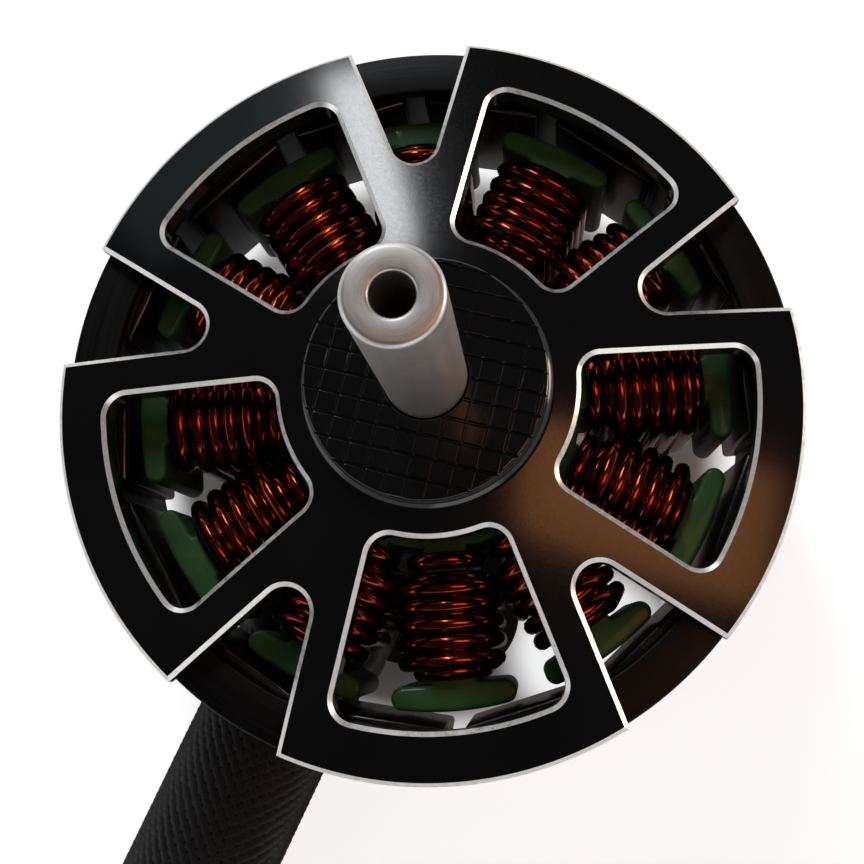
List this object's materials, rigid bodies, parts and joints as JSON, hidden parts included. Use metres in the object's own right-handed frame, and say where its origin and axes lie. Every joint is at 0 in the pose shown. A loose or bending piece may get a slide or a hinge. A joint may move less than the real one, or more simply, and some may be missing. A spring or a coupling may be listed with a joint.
{
  "type": "brushless motor",
  "caption": "Brushless outrunner motor: a spoked black bell on a hollow shaft turns round green-coated teeth with copper coils, on a cross-shaped base with a sleeved lead bundle.",
  "frame": {"origin": "on the shaft's axis in the base's flat mounting face", "axes": "+Z along the shaft towards its free end, +Y through one of the bell's rim notches at rest"},
  "size_m": [0.0557, 0.062, 0.03],
  "materials": {
    "black_anodised": "black anodised, polished face with bare machined edge chamfers",
    "base_anodised": "black anodised, satin",
    "ring_steel": "blackened steel, satin",
    "magnet_plating": "nickel plated",
    "shaft_steel": "ground steel",
    "bearing_steel": "ground bearing steel",
    "shield_steel": "pressed steel shield",
    "green_coat": "green epoxy coat over steel laminations",
    "copper_enamel": "enamelled copper wire",
    "shrink_tube": "shrunk black tube",
    "black_braid": "black braided sleeve",
    "lead_insulation": "soft black insulation",
    "tinned_wire": "tinned copper strands"
  },
  "bodies": {
    "stator": {"base": "base_anodised", "stator_stack": "green_coat", "coil_01": "copper_enamel", "coil_02": "copper_enamel", "coil_03": "copper_enamel", "coil_04": "copper_enamel", "coil_05": "copper_enamel", "coil_06": "copper_enamel", "coil_07": "copper_enamel", "coil_08": "copper_enamel", "coil_09": "copper_enamel", "coil_10": "copper_enamel", "coil_11": "copper_enamel", "coil_12": "copper_enamel", "lower_bearing_outer_race": "bearing_steel", "lower_bearing_lower_shield": "shield_steel", "lower_bearing_upper_shield": "shield_steel", "upper_bearing_outer_race": "bearing_steel", "upper_bearing_lower_shield": "shield_steel", "upper_bearing_upper_shield": "shield_steel", "lead_collar": "shrink_tube", "winding_tail_1": "copper_enamel", "winding_tail_2": "copper_enamel", "winding_tail_3": "copper_enamel", "lead_sleeve": "black_braid", "phase_lead_1": "lead_insulation", "phase_lead_2": "lead_insulation", "phase_lead_3": "lead_insulation", "lead_end_1": "tinned_wire", "lead_end_2": "tinned_wire", "lead_end_3": "tinned_wire"},
    "rotor": {"bell": "black_anodised", "flux_ring": "ring_steel", "magnet_01": "magnet_plating", "magnet_02": "magnet_plating", "magnet_03": "magnet_plating", "magnet_04": "magnet_plating", "magnet_05": "magnet_plating", "magnet_06": "magnet_plating", "magnet_07": "magnet_plating", "magnet_08": "magnet_plating", "magnet_09": "magnet_plating", "magnet_10": "magnet_plating", "magnet_11": "magnet_plating", "magnet_12": "magnet_plating", "magnet_13": "magnet_plating", "magnet_14": "magnet_plating", "shaft": "shaft_steel", "shaft_washer": "bearing_steel", "shaft_clip": "bearing_steel", "bell_shim": "bearing_steel", "lower_bearing_inner_race": "bearing_steel", "upper_bearing_inner_race": "bearing_steel"},
    "lower_balls": {"lower_bearing_ball_cage": "bearing_steel"},
    "upper_balls": {"upper_bearing_ball_cage": "bearing_steel"}
  },
  "joints": [
    {"name": "rotor_spin", "type": "hinge", "parent": "stator", "child": "rotor", "pos_m": [0, 0, 0], "axis": [0, 0, 1], "continuous": true},
    {"name": "lower_balls_orbit", "type": "hinge", "parent": "stator", "child": "lower_balls", "pos_m": [0, 0, 0], "axis": [0, 0, 1], "continuous": true},
    {"name": "upper_balls_orbit", "type": "hinge", "parent": "stator", "child": "upper_balls", "pos_m": [0, 0, 0], "axis": [0, 0, 1], "continuous": true}
  ],
  "couplings": [
    {"joint": "lower_balls_orbit", "follows": "rotor_spin", "ratio": 0.4158},
    {"joint": "upper_balls_orbit", "follows": "rotor_spin", "ratio": 0.4158}
  ]
}
